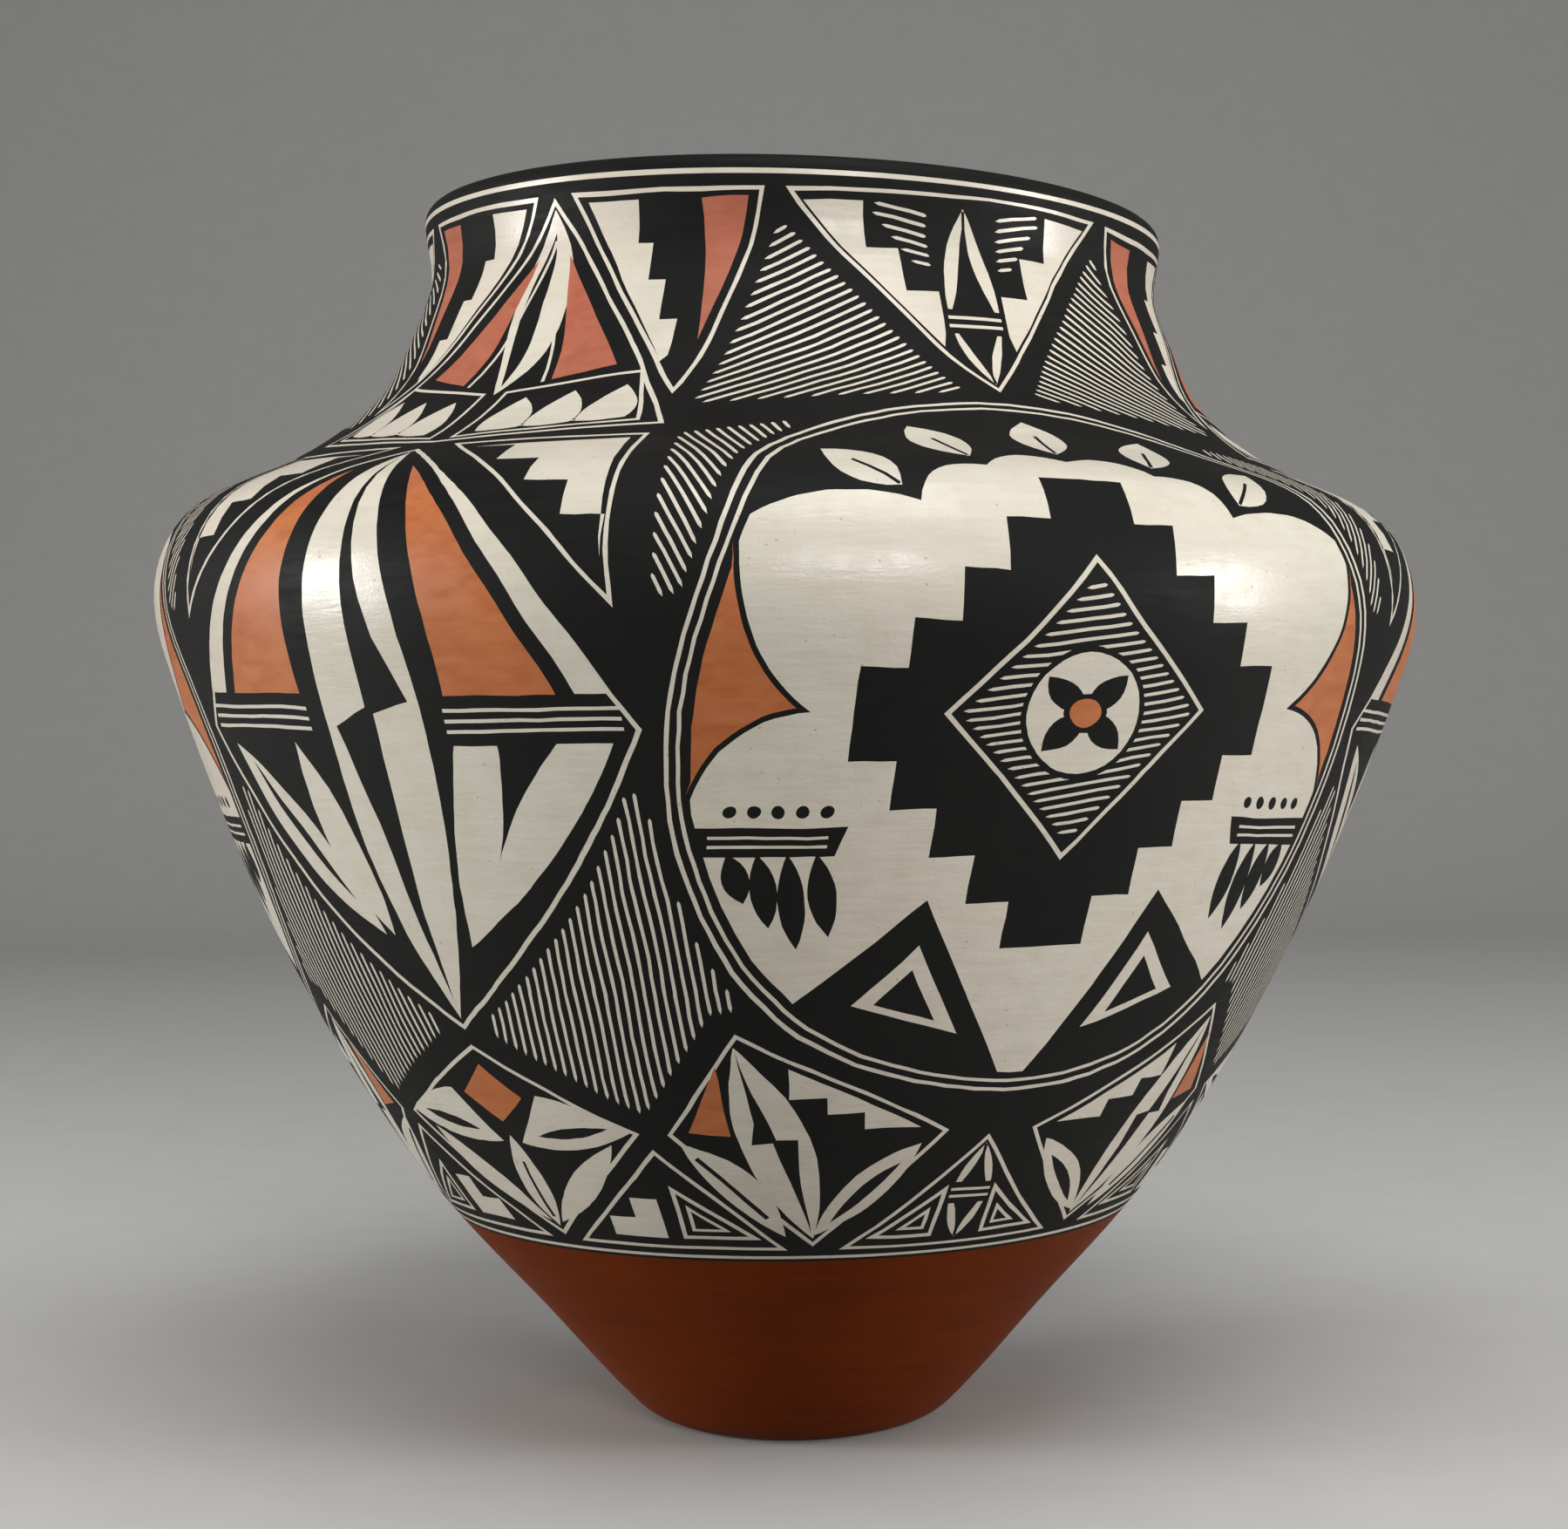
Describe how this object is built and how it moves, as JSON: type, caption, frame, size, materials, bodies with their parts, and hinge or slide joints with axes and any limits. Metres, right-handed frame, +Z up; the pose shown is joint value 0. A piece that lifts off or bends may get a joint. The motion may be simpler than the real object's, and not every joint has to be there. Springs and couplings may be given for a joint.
{
  "type": "pottery jar",
  "caption": "Coil-built earthenware water jar with a small foot, high round shoulder, short neck and rounded lip, slipped and painted in geometric bands.",
  "frame": {"origin": "centre of the foot, on the surface that the jar stands on", "axes": "+Z up along the jar's axis of turning, X and Y level"},
  "size_m": [0.3298, 0.3298, 0.32],
  "materials": {
    "red_slip": "stone-polished red slip",
    "white_slip": "stone-polished white slip, fired",
    "black_paint": "fired black mineral paint, satin",
    "orange_paint": "fired orange clay paint, satin",
    "bare_clay": "scraped unslipped clay, matt"
  },
  "bodies": {
    "root": {"base_bowl": "red_slip", "lower_wall_coil_1": "white_slip", "lower_wall_coil_2": "white_slip", "lower_wall_coil_3": "white_slip", "lower_wall_coil_4": "white_slip", "lower_wall_coil_5": "white_slip", "belly_coil_1": "white_slip", "belly_coil_2": "white_slip", "shoulder_coil_1": "white_slip", "shoulder_coil_2": "white_slip", "shoulder_coil_3": "white_slip", "neck_coil_1": "white_slip", "rim_coil": "black_paint"}
  },
  "joints": []
}
